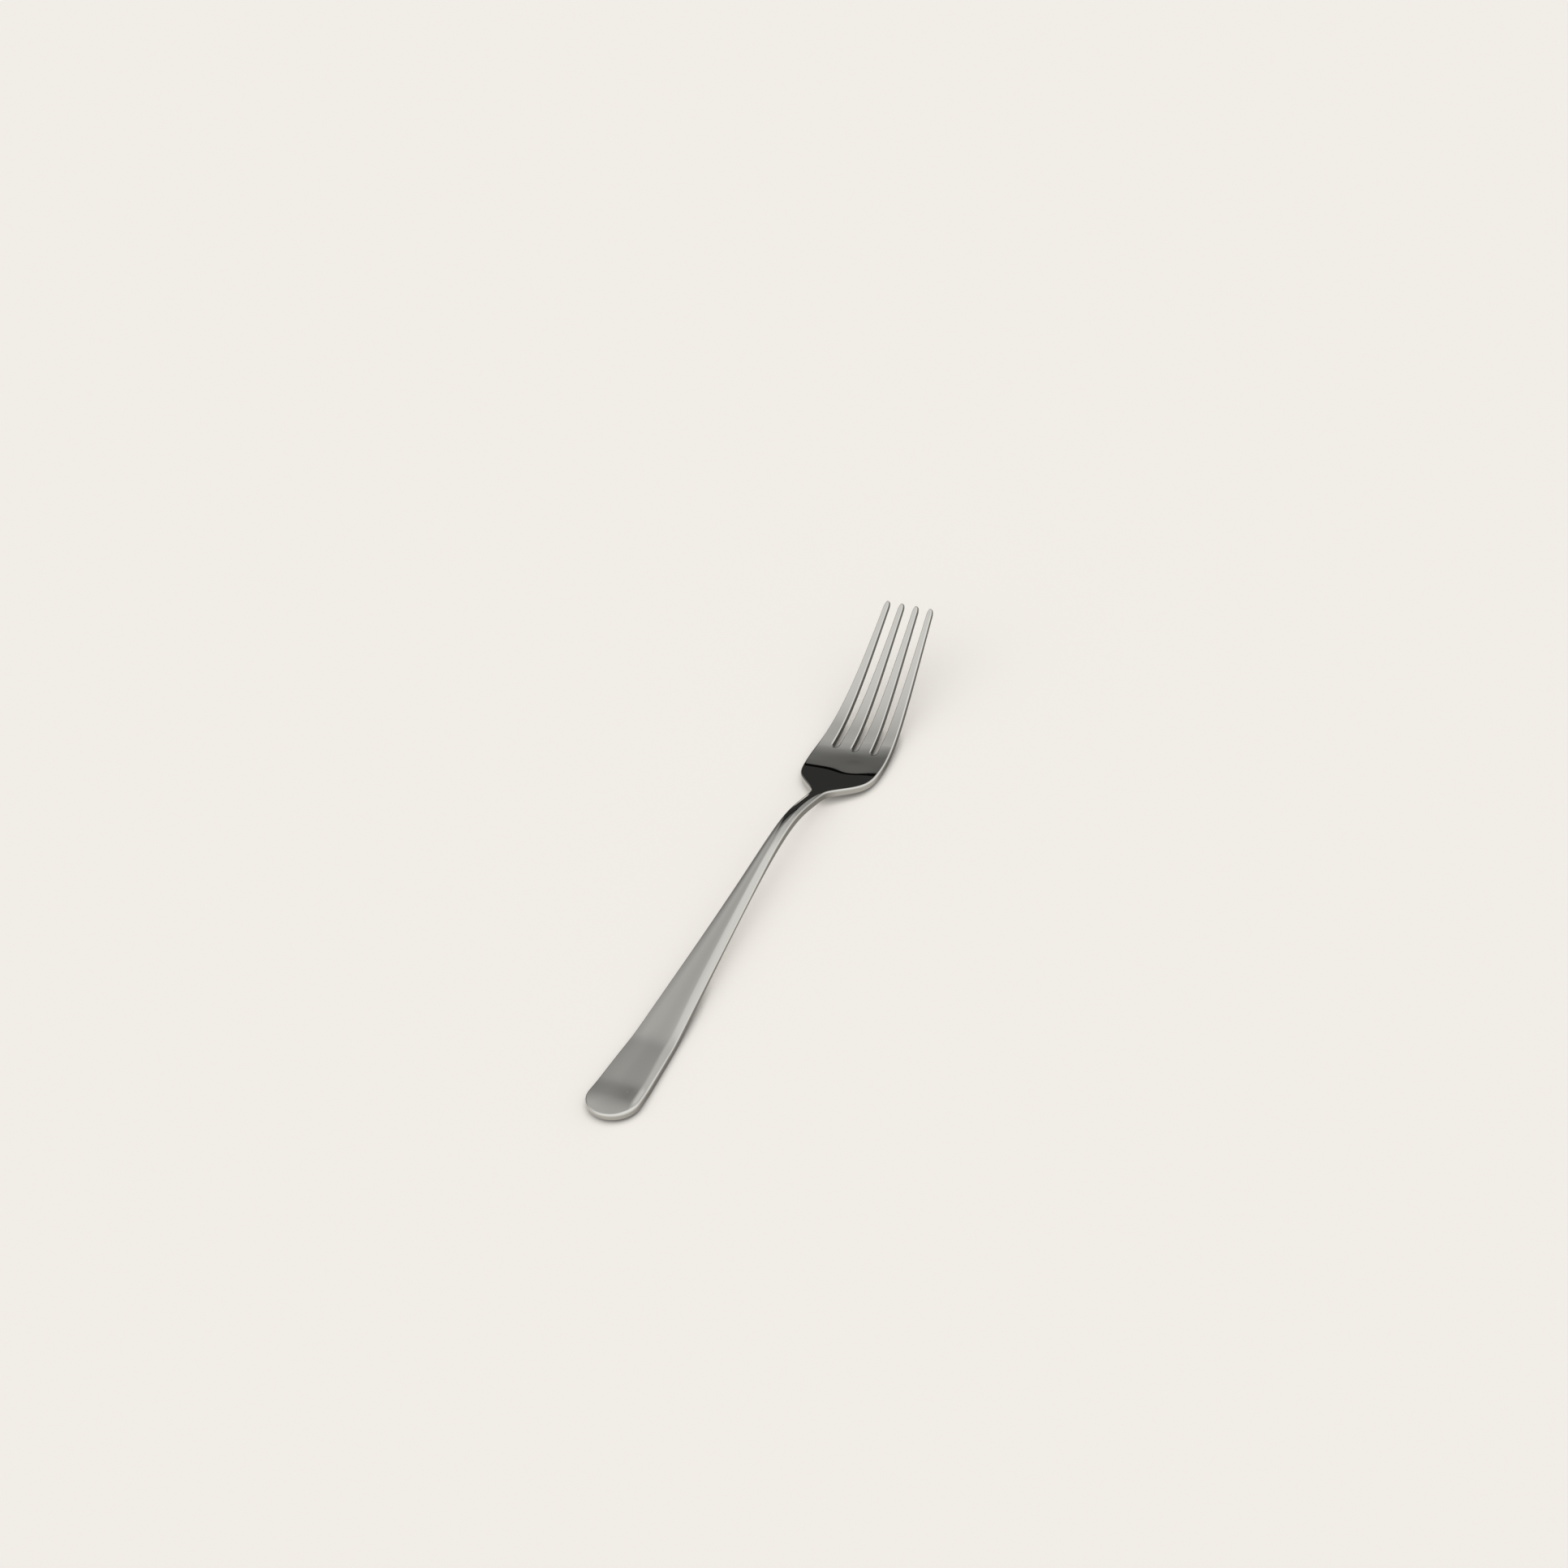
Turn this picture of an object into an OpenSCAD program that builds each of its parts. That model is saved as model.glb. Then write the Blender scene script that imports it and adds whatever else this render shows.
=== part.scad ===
// Dinner fork in one piece of stainless steel, lying on its back.
// The blank is laid out flat, as it is stamped: a place along the fork, a distance from the
// middle line and a height above the underside. It is then bent along the side profile.
// +X points from the rounded end of the handle to the tips, +Z is up, and the table is Z = 0.
// The origin lies under the middle of the length.
// All sizes are millimetres.

/* [Overall] */
// Length from the end of the handle to the tips of the tines
length = 200; // [190:1:215]

/* [Handle] */
// Width of the handle close to its rounded end
handle_w = 18; // [14:0.5:22]
// Width of the handle halfway to the neck
waist_w = 10.2; // [8:0.2:13]
// Distance from the end of the handle to that waist
waist_at = 60; // [50:1:70]
// Length of the rounding at the end of the handle
end_round = 7.5; // [5:0.5:10]
// Thickness of the edge at the end of the handle
handle_t = 2.3; // [1.8:0.1:3]
// Thickness of the edge at the waist
waist_t = 1.2; // [1.2:0.1:2.4]
// Height of the crown along the middle of the top, above its edges
crown = 0.7; // [0.3:0.1:1.2]
// Height of the very end of the handle above the table
end_lift = 0.9; // [0.2:0.1:2]
// Distance from the end of the handle to the flat that rests on the table
rest_at = 16; // [14:1:20]
// Length of that flat
rest_len = 12; // [8:1:14]
// Depth of the hollow along the middle of the back, which stands the flat on its two sides
back_hollow = 0.03; // [0:0.01:0.04]

/* [Neck] */
// Width of the neck
neck_w = 4.4; // [3.4:0.1:6]
// Thickness of the edge at the neck
neck_t = 2.4; // [2.2:0.1:4]
// Distance from the crest of the neck to the shoulders
neck_len = 23; // [18:1:30]
// Height of the underside above the table at the crest
neck_lift = 8; // [4:0.5:11]

/* [Head] */
// Widest part of the head
head_w = 25.6; // [22:0.2:30]
// Distance over which the shoulders grow from the neck to the full width
shoulder_len = 15; // [12:0.5:18]
// Distance from there to the bottoms of the slots
palm_len = 7.6; // [6:0.2:12]
// Thickness of the palm
palm_t = 2; // [1.6:0.1:2.8]
// Height of the palm's edges above its middle
dish = 0.5; // [0:0.1:1.2]

/* [Tines] */
// Number of tines
tines = 4; // [3:1:4]
// Length of the tines from the bottom of a slot to the tips
tine_len = 46.4; // [38:0.2:52]
// Width of a slot at its round bottom
slot_w = 2.1; // [1.2:0.1:2.6]
// Width of the gap between two tips
tip_gap = 3.3; // [2.4:0.1:3.5]
// Width across all the tips
tips_w = 17; // [16:0.2:22]
// Thickness of the tines at their tips
tip_t = 1.3; // [1:0.1:1.8]
// Height of the underside of the tips above the table
tip_rise = 20.3; // [10:0.1:25]
// Length of the rounding at a tip
tip_round = 2; // [1:0.1:3]

/* [Edges] */
// Radius of the top edge along the handle
edge_r = 0.35; // [0.2:0.05:0.5]
// Radius of the top edge round the end of the handle
end_edge_r = 0.9; // [0.4:0.1:1.2]
// Radius of the top edge round the neck and the shoulders
shoulder_edge_r = 0.7; // [0.3:0.1:0.9]
// Radius of the top and back edges of the tines
tine_edge_r = 0.4; // [0.15:0.05:0.4]
// Radius of the back edge of the handle and the head
back_r = 0.5; // [0.3:0.1:0.6]

/* [Hidden] */

// Places along the fork that several curves share
slot_at = length - tine_len;
full_at = slot_at - palm_len;
shoulder_at = full_at - shoulder_len;
neck_at = shoulder_at - neck_len;
rest_end = rest_at + rest_len;

// Width of a tine at its tip, and the largest edge radius that its rounding has room for
tine_tip_w = (tips_w - (tines - 1) * tip_gap) / tines;
tip_edge_r = min(tine_edge_r, 0.7 * pow(tine_tip_w / 2, 2) / tip_round);

// Number of steps in the mesh
strip_steps = 3;
round_steps = 8;
slot_steps = 4;
tip_steps = 5;
edge_steps = 2;
trace_steps = 24;
handle_steps = 34;
shoulder_steps = 22;
palm_steps = 4;
tine_steps = 20;

// Corners of the half width. A smooth curve rounds them all.
half_width = [
    [0, handle_w / 2],
    [end_round, handle_w / 2],
    [rest_end, handle_w * 0.425],
    [waist_at, waist_w / 2],
    [waist_at * 0.35 + neck_at * 0.65, waist_w * 0.3],
    [neck_at, neck_w / 2],
    [shoulder_at - shoulder_len * 0.1, neck_w / 2],
    [shoulder_at + shoulder_len * 0.08, neck_w * 0.52],
    [shoulder_at + shoulder_len * 0.4, head_w * 0.375],
    [shoulder_at + shoulder_len * 0.65, head_w * 0.49],
    [full_at + shoulder_len * 0.1, head_w * 0.51],
    [slot_at, head_w * 0.495],
    [slot_at + tine_len * 0.3, head_w * 0.3 + tips_w * 0.195],
    [slot_at + tine_len * 0.6, head_w * 0.1 + tips_w * 0.42],
    [length, tips_w / 2]
];

// Corners of the height of the underside above the table, along the middle
underside = [
    [0, end_lift],
    [rest_at * 0.5, end_lift * 0.5],
    [rest_at - rest_len / 3, 0],
    [rest_at, 0],
    [rest_end, 0],
    [rest_end + rest_len / 3, 0],
    [waist_at * 0.85, neck_lift * 0.325],
    [waist_at * 0.4 + neck_at * 0.6, neck_lift * 0.855],
    [neck_at, neck_lift * 1.02],
    [neck_at * 0.5 + shoulder_at * 0.5, neck_lift * 0.96],
    [shoulder_at, neck_lift * 0.37],
    [full_at - shoulder_len * 0.25, 0],
    [full_at + shoulder_len * 0.1, 0],
    [slot_at, 0],
    [slot_at + tine_len * 0.2, tip_rise * 0.09],
    [slot_at + tine_len * 0.5, tip_rise * 0.38],
    [length, tip_rise]
];

// Corners of the thickness at the edges
thickness = [
    [0, handle_t],
    [rest_end, handle_t],
    [waist_at, waist_t],
    [waist_at * 0.35 + neck_at * 0.65, waist_t],
    [neck_at, neck_t],
    [shoulder_at, neck_t],
    [full_at, palm_t],
    [slot_at, palm_t],
    [length, tip_t]
];

// Corners of the crown on the top, which ends where the palm begins
crown_height = [
    [0, crown],
    [neck_at, crown],
    [shoulder_at - shoulder_len * 0.2, crown],
    [shoulder_at + shoulder_len * 0.3, 0],
    [full_at, 0],
    [length, 0]
];

// Corners of the hollow in the back, which ends with the crown
hollow_depth = [
    [0, back_hollow],
    [neck_at, back_hollow],
    [shoulder_at - shoulder_len * 0.2, back_hollow],
    [shoulder_at + shoulder_len * 0.3, 0],
    [full_at, 0],
    [length, 0]
];

// Corners of how far the edges of the head stand above its middle
dish_height = [
    [0, 0],
    [shoulder_at, 0],
    [full_at, dish],
    [slot_at, dish],
    [slot_at + tine_len * 0.6, 0],
    [length, 0]
];

// Corners of the radius of the top edge
top_radius = [
    [0, end_edge_r],
    [end_round, end_edge_r],
    [rest_end, edge_r],
    [neck_at * 0.7, edge_r],
    [neck_at, shoulder_edge_r],
    [full_at, shoulder_edge_r],
    [slot_at - slot_w * 2, tine_edge_r],
    [length - tip_round * 2, tine_edge_r],
    [length, tip_edge_r]
];

// Corners of the radius of the back edge
back_radius = [
    [0, back_r],
    [full_at, back_r],
    [slot_at - slot_w * 2, tine_edge_r],
    [length - tip_round * 2, tine_edge_r],
    [length, tip_edge_r]
];

// A cubic B-spline steered by corners. It starts and ends on the first and last corner.
function spline(corners, u) =
    let (
        spans = len(corners) - 1,
        i = min(floor(u), spans - 1),
        t = u - i,
        b = corners[i],
        c = corners[i + 1],
        a = i == 0 ? 2 * b - c : corners[i - 1],
        d = i == spans - 1 ? 2 * c - b : corners[i + 2],
        wa = pow(1 - t, 3),
        wb = 3 * pow(t, 3) - 6 * t * t + 4,
        wc = -3 * pow(t, 3) + 3 * t * t + 3 * t + 1,
        wd = pow(t, 3)
    ) (wa * a + wb * b + wc * c + wd * d) / (wa + wb + wc + wd);

// A spline traced as points close together, and its value above a place along the fork
function traced(corners) =
    [for (i = [0 : trace_steps * (len(corners) - 1)]) spline(corners, i / trace_steps)];
function at(curve, place) = lookup(place, curve);

width_curve = traced(half_width);
low_curve = traced(underside);
thickness_curve = traced(thickness);
crown_curve = traced(crown_height);
hollow_curve = traced(hollow_depth);
dish_curve = traced(dish_height);
top_radius_curve = traced(top_radius);
back_radius_curve = traced(back_radius);

// The slope of the underside, as an angle at the middle of each step of its curve
bend_curve = [for (i = [1 : len(low_curve) - 1])
    let (a = low_curve[i - 1], b = low_curve[i])
    [(a[0] + b[0]) / 2, atan((b[1] - a[1]) / (b[0] - a[0]))]];

// A point of the flat blank (place, distance from the middle, height), raised towards the
// edges of the dish and bent to the profile
function bent(p) =
    let (
        angle = at(bend_curve, p[0]),
        across = p[1] / at(width_curve, p[0]),
        height = p[2] + at(dish_curve, p[0]) * across * across
    ) [p[0] - height * sin(angle), p[1], at(low_curve, p[0]) + height * cos(angle)];

// Places of the stations: close together where an outline turns
function even(from, to, steps) = [for (i = [1 : steps]) from + (to - from) * i / steps];
function turning_out(from, reach, steps) =
    [for (i = [1 : steps]) from + reach * (1 - cos(90 * i / steps))];
function turning_in(from, reach, steps) =
    [for (i = [1 : steps]) from + reach * sin(90 * i / steps)];

slot_r = slot_w / 2;
tip_at = length - tip_round;
shoulder_from = shoulder_at - shoulder_len * 0.2;
palm_end = slot_at - slot_w;
places = concat(
    [0],
    turning_out(0, end_round, round_steps),
    even(end_round, shoulder_from, handle_steps),
    even(shoulder_from, full_at, shoulder_steps),
    even(full_at, palm_end, palm_steps),
    [slot_at],
    turning_out(slot_at, slot_r, slot_steps),
    even(slot_at + slot_r, tip_at, tine_steps),
    turning_in(tip_at, tip_round, tip_steps)
);
last = len(places) - 1;
root = 1 + round_steps + handle_steps + shoulder_steps + palm_steps;

// A share from 0 to 1 of a quarter ellipse's height, at a share of its reach
function quarter(reach) = sqrt(max(0, 1 - pow(1 - max(0, min(1, reach)), 2)));

// How much of the full width is left at the round end of the handle and at a round tip,
// and how much of a slot is open at its round bottom
function end_share(place) = quarter(place / end_round);
function tip_share(place) = quarter((length - place) / tip_round);
function slot_share(place) = quarter((place - slot_at) / slot_r);

// Width of a gap between two tines, which widens quickly at first and then evens out
function gap_at(place) =
    let (to_tip = max(0, min(1, (length - place) / tine_len)))
    tip_gap + (slot_w - tip_gap) * pow(to_tip, 1.5);

// Middle line of slot b, counted from 1, at a place past the bottom of the slots.
// It leaves all the tines the same width.
function slot_middle(place, b) =
    let (
        w = at(width_curve, place),
        gap = gap_at(place),
        tine_w = (2 * w - (tines - 1) * gap) / tines
    ) b * (tine_w + gap) - gap / 2 - w;

// Where strip b begins across the head and handle, from -1 at one edge to 1 at the other
function strip_share(b) =
    b == 0 ? -1
    : b == tines ? 1
    : slot_middle(slot_at, b) / at(width_curve, slot_at);

// Whether a wall is the outline of the whole fork and not the wall of a slot
function is_outer(tine, side) = side == 0 ? tine == 0 : tine == tines - 1;

// Distance of a wall from the middle line, before a tip is rounded.
// Side 0 is towards -Y and side 1 towards +Y.
function bare_wall(place, tine, side) =
    is_outer(tine, side)
        ? (side * 2 - 1) * at(width_curve, place) * end_share(place)
        : slot_middle(place, tine + side) - (side * 2 - 1) * gap_at(place) / 2 * slot_share(place);

function wall(place, tine, side) =
    place <= tip_at ? bare_wall(place, tine, side)
    : let (
        here = bare_wall(place, tine, side),
        middle = (here + bare_wall(place, tine, 1 - side)) / 2
    ) middle + (here - middle) * tip_share(place);

// A point of a wall at station i. Past its ends the wall turns back on itself.
function wall_point(i, tine, side) =
    i < 0 ? mirrored(-i, tine, side, 0)
    : i > last
        ? mirrored(2 * last - i, tine, side, (wall(length, tine, 0) + wall(length, tine, 1)) / 2)
    : i < root && !is_outer(tine, side)
        ? mirrored(2 * root - i, tine, side, slot_middle(places[2 * root - i], tine + side))
    : [places[i], wall(places[i], tine, side)];
function mirrored(i, tine, side, middle) =
    [places[i], 2 * middle - wall(places[i], tine, side)];

// The direction from a wall into the metal, in the flat blank
function inward(i, tine, side) =
    let (along = wall_point(i + 1, tine, side) - wall_point(i - 1, tine, side))
    (side * 2 - 1) * [along[1], -along[0]] / norm(along);

// The points of a wall at station i, from the top face round both edges to the back face:
// place, distance from the middle line and height above the underside
function wall_column(i, tine, side) =
    let (
        p = wall_point(i, tine, side),
        n = inward(i, tine, side),
        t = at(thickness_curve, places[i]),
        top_r = at(top_radius_curve, places[i]),
        low_r = at(back_radius_curve, places[i])
    ) concat(
        [for (k = [0 : edge_steps])
            let (a = 90 * k / edge_steps, q = p + n * top_r * (1 - sin(a)))
            [q[0], q[1], t - top_r * (1 - cos(a))]],
        [for (k = [edge_steps : -1 : 0])
            let (a = 90 * k / edge_steps, q = p + n * low_r * (1 - sin(a)))
            [q[0], q[1], low_r * (1 - cos(a))]]
    );

column_size = 2 * (edge_steps + 1);
inner_size = column_size - 2;
row_steps = tines * strip_steps;

// The share of the width at step j of a row across the head or handle
function row_share(j) =
    let (b = min(tines - 1, floor(j / strip_steps)), rest = j / strip_steps - b)
    strip_share(b) * (1 - rest) + strip_share(b + 1) * rest;

row_shares = [for (j = [0 : row_steps]) row_share(j)];

// A row across the top or the back, from the column of one edge to the other
function row(i, edge, is_top) =
    let (
        left = pow(edge[1] / at(width_curve, places[i]), 2),
        rise = left * at(is_top ? crown_curve : hollow_curve, places[i])
    ) [for (s = row_shares) bent([edge[0], edge[1] * s, edge[2] + rise * (1 - s * s)])];

// The same along one tine, straight between its two walls
function tine_row(low, high) =
    [for (j = [0 : strip_steps])
        let (s = j / strip_steps)
        bent(low * (1 - s) + high * s)];

// All the points. The round end of the handle and each tip are one column,
// and so is the bottom of each slot.
first = 0;
bottom = column_size - 1;
end_points = [for (c = wall_column(0, tines - 1, 1)) bent(c)];
body_points = [for (i = [1 : root - 1])
    let (low = wall_column(i, 0, 0), high = wall_column(i, tines - 1, 1))
    each concat(
        row(i, high[first], true), row(i, high[bottom], false), inner(low), inner(high)
    )];
root_walls = [for (t = [0 : tines - 1]) [wall_column(root, t, 0), wall_column(root, t, 1)]];
root_points = concat(
    root_row(first), root_row(bottom), inner(root_walls[0][0]), inner(root_walls[tines - 1][1])
);
slot_points = [for (b = [1 : tines - 1]) each inner(root_walls[b][0])];
tine_points = [for (i = [root + 1 : last - 1], t = [0 : tines - 1])
    let (low = wall_column(i, t, 0), high = wall_column(i, t, 1))
    each concat(
        tine_row(low[first], high[first]), tine_row(low[bottom], high[bottom]),
        inner(low), inner(high)
    )];
tip_points = [for (t = [0 : tines - 1], c = wall_column(last, t, 1)) bent(c)];

function inner(column) = [for (k = [1 : inner_size]) bent(column[k])];

// The row through the bottoms of the slots, where all the tines still touch
function root_row(k) =
    [for (t = [0 : tines - 1], j = [0 : strip_steps])
        if (j < strip_steps || t == tines - 1)
            let (s = j / strip_steps)
            bent(root_walls[t][0][k] * (1 - s) + root_walls[t][1][k] * s)];

// Where each run of points begins, and how many points a station has in it
body_size = 2 * (row_steps + 1) + 2 * inner_size;
tine_size = 2 * (strip_steps + 1) + 2 * inner_size;
body_from = column_size;
slot_from = body_from + root * body_size;
tine_from = slot_from + (tines - 1) * inner_size;
tip_from = tine_from + (last - root - 1) * tines * tine_size;

// Number of a point of the top (face 0) or the back (face 1) of a strip
function face_id(i, tine, j, face) =
    i == 0 ? face * bottom
    : i <= root ? body_from + (i - 1) * body_size + face * (row_steps + 1) + tine * strip_steps + j
    : i < last
        ? tine_from + ((i - root - 1) * tines + tine) * tine_size + face * (strip_steps + 1) + j
    : tip_from + tine * column_size + face * bottom;

// Number of point k of a wall's column
function wall_id(i, tine, side, k) =
    k == 0 || k == bottom ? face_id(i, tine, side * strip_steps, k == 0 ? 0 : 1)
    : i == 0 ? k
    : i <= root && is_outer(tine, side)
        ? body_from + (i - 1) * body_size + 2 * (row_steps + 1) + side * inner_size + k - 1
    : i == root ? slot_from + (tine + side - 1) * inner_size + k - 1
    : i < last
        ? tine_from + ((i - root - 1) * tines + tine) * tine_size + 2 * (strip_steps + 1)
            + side * inner_size + k - 1
    : tip_from + tine * column_size + k;

// Two triangles, less any that a shared corner leaves empty
function patch(a, b, c, d) =
    [for (f = [[a, b, c], [a, c, d]]) if (f[0] != f[1] && f[1] != f[2] && f[2] != f[0]) f];

fork_faces = concat(
    [for (i = [0 : last - 1], t = [0 : tines - 1], j = [0 : strip_steps - 1]) each patch(
        face_id(i, t, j, 0), face_id(i, t, j + 1, 0),
        face_id(i + 1, t, j + 1, 0), face_id(i + 1, t, j, 0)
    )],
    [for (i = [0 : last - 1], t = [0 : tines - 1], j = [0 : strip_steps - 1]) each patch(
        face_id(i, t, j, 1), face_id(i + 1, t, j, 1),
        face_id(i + 1, t, j + 1, 1), face_id(i, t, j + 1, 1)
    )],
    [for (i = [0 : last - 1], t = [0 : tines - 1], k = [0 : bottom - 1])
        if (i >= root || is_outer(t, 1)) each patch(
            wall_id(i, t, 1, k), wall_id(i, t, 1, k + 1),
            wall_id(i + 1, t, 1, k + 1), wall_id(i + 1, t, 1, k)
        )],
    [for (i = [0 : last - 1], t = [0 : tines - 1], k = [0 : bottom - 1])
        if (i >= root || is_outer(t, 0)) each patch(
            wall_id(i, t, 0, k), wall_id(i + 1, t, 0, k),
            wall_id(i + 1, t, 0, k + 1), wall_id(i, t, 0, k + 1)
        )]
);

module fork() {
    color([0.72, 0.72, 0.7])
        translate([-length / 2, 0, 0])
            polyhedron(
                points = concat(
                    end_points, body_points, root_points, slot_points, tine_points, tip_points
                ),
                faces = fork_faces
            );
}

fork();
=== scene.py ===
"""A dinner fork in one piece of polished stainless steel, on a pale table in soft light.

Every size is in metres. +X points from the rounded end of the handle to the tips, +Z is up, the
table is Z = 0, and the origin lies under the middle of the fork's length.
"""
from math import cos, pi, radians, sin

import bmesh
import bpy
import numpy as np
from bpy.props import FloatProperty, FloatVectorProperty, IntProperty, PointerProperty
from mathutils import Matrix, Vector


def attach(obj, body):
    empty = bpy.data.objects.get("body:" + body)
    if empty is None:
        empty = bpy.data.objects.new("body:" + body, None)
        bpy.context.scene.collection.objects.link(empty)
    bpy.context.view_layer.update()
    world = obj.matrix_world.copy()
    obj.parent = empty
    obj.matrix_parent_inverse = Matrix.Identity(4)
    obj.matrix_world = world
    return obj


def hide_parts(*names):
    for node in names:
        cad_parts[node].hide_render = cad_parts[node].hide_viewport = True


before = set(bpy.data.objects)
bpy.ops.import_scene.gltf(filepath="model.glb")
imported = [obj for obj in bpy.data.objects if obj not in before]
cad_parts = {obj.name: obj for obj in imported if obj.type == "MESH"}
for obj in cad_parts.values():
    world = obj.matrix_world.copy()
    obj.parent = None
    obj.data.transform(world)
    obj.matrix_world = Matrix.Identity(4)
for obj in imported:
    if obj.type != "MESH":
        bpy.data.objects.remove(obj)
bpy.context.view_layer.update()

bl_info = {
    "name": "Dinner fork",
    "version": (1, 0, 0),
    "blender": (4, 5, 0),
    "location": "3D View > Sidebar > Dinner Fork",
    "description": "Builds a one-piece stainless steel dinner fork and the table it lies on",
    "category": "Add Mesh",
}

MM = 0.001

# Steps of the fork's surface round an edge, a tip, the bottom of a slot and the handle's end
EDGE_STEPS = 6
TIP_STEPS = 12
SLOT_STEPS = 10
END_STEPS = 28
# Angles round an edge, from the face to the wall
EDGE_TURN = np.linspace(0, pi / 2, EDGE_STEPS + 1)
# Distance between the rows of points along the handle, the shoulders and the tines
HANDLE_GAP = 0.5 * MM
SHOULDER_GAP = 0.3 * MM
TINE_GAP = 0.45 * MM
# Where the points of a tine lie across it, closer together towards its edges
ACROSS_SHARES = np.array([0, 0.02, 0.06, 0.14, 0.25, 0.37, 0.5, 0.63, 0.75, 0.86, 0.94, 0.98, 1])
# The palm's shallow wave: how far before the full width and beside the middle it lies, its reach
# along and across, and its steepest slope
WAVE_BACK = 1 * MM
WAVE_SIDE = -5.2 * MM
WAVE_LENGTH = 8.5 * MM
WAVE_WIDTH = 4 * MM
WAVE_SLOPE = 0.077
# Largest share of a tip's radius that its edges are rounded by
TIP_EDGE_SHARE = 0.7
# Points nearer together than this are one point
WELD = 0.0001 * MM
# How suddenly the polish of a top edge gives way to the darker colour of sheared metal and painted
# shade: on the fork's outline, and down the slots, where it spreads further onto the edges
OUTLINE_CRISPNESS = 8
SLOT_CRISPNESS = 3

# Polishing lines: how often they change along the flat blank, across it and through it, per metre
LINE_SCALE = (50, 3000, 400)
LINE_DETAIL = 4
# Dull patches and soft waves: how often they change per metre, and the part of the patches'
# pattern over which the polish goes from its finest to its dullest
PATCH_SCALE = 90
PATCH_DETAIL = 2
PATCH_RANGE = (0.35, 0.7)
RIPPLE_SCALE = 55
RIPPLE_DETAIL = 1
# The table: its roughness, and how open to the room it must lie before painted shade starts to
# darken its colour
TABLE_ROUGHNESS = 0.9
TABLE_OPEN = 0.85

# The dark card: its direction and distance from the palm, its sides and its height
PALM_AT = 43 * MM
CARD_HEADING = radians(38)
CARD_REACH = 200 * MM
CARD_SIDES = (-55 * MM, 68 * MM)
CARD_TOP = 278 * MM
# Its brightness by the share of its height
CARD_TONES = (
    (0, 0.034), (0.453, 0.036), (0.463, 0.002), (0.53, 0.002), (0.54, 0.12), (0.576, 0.14),
    (0.658, 0.15), (0.72, 0.185), (0.83, 0.29), (0.9, 0.40), (1, 0.46),
)

# Brightness of the parts of the room by the sine of the height above the table
RIGHT_TONES = (
    (0, 0.36), (0.5, 0.38), (0.64, 0.42), (0.77, 0.52), (0.87, 0.68), (0.91, 0.82), (1, 0.90),
)
STRIP_TONES = (
    (0, 0.30), (0.6, 0.38), (0.7, 0.70), (0.745, 0.70), (0.79, 0.59), (0.87, 0.66), (0.91, 0.83),
    (1, 0.90),
)
AHEAD_TONES = (
    (0, 0.12), (0.3, 0.14), (0.5, 0.16), (0.62, 0.20), (0.69, 0.25), (0.745, 0.32), (0.8, 0.40),
    (0.85, 0.48), (0.93, 0.68), (1, 0.90),
)
LEFT_TONES = (
    (0, 0.12), (0.1, 0.12), (0.3, 0.18), (0.38, 0.28), (0.47, 0.38), (0.64, 0.51), (0.78, 0.50),
    (0.87, 0.48), (0.94, 0.55), (1, 0.90),
)
BEHIND_TONES = ((0, 0.92), (0.9, 1.0))
# Shares of red, green and blue in the greys of the card and the room
ROOM_TINT = (1, 0.995, 0.98)
# Direction square to the plane that parts the room to the right from the room ahead, and how far
# off that plane the strip turns into the room to the right, and into the room ahead
AHEAD_PLANE = (-0.289, 0.936, -0.201)
STRIP_BLEND = (-0.3, -0.08)
AHEAD_BLEND = (-0.01, 0.02)
# Headings round from +X over which the room ahead turns into the room to the left, and over which
# both sides turn into the room behind
LEFT_BLEND = (radians(35), radians(58))
LEFT_BEHIND_BLEND = (radians(72), radians(136))
RIGHT_BEHIND_BLEND = (radians(-5), radians(-48))

# The camera: the width of its sensor in millimetres, and how near and far it sees in metres
SENSOR_WIDTH = 36
SEES_FROM = 0.01
SEES_TO = 100


def size(name, text, millimetres, low, high):
    """A length that a user can change, given in millimetres."""
    return FloatProperty(
        name=name, description=text, default=millimetres * MM, min=low * MM, max=high * MM,
        unit="LENGTH", precision=4,
    )


def colour(name, text, red, green, blue):
    """A colour that a user can change, in linear light."""
    return FloatVectorProperty(
        name=name, description=text, default=(red, green, blue), min=0, max=1, size=3,
        subtype="COLOR",
    )


def share(name, text, value, low=0, high=1):
    """A plain number that a user can change."""
    return FloatProperty(
        name=name, description=text, default=value, min=low, max=high, precision=3,
    )


def angle(name, text, degrees):
    """An angle that a user can change, given in degrees."""
    return FloatProperty(
        name=name, description=text, default=radians(degrees), subtype="ANGLE",
    )


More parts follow.
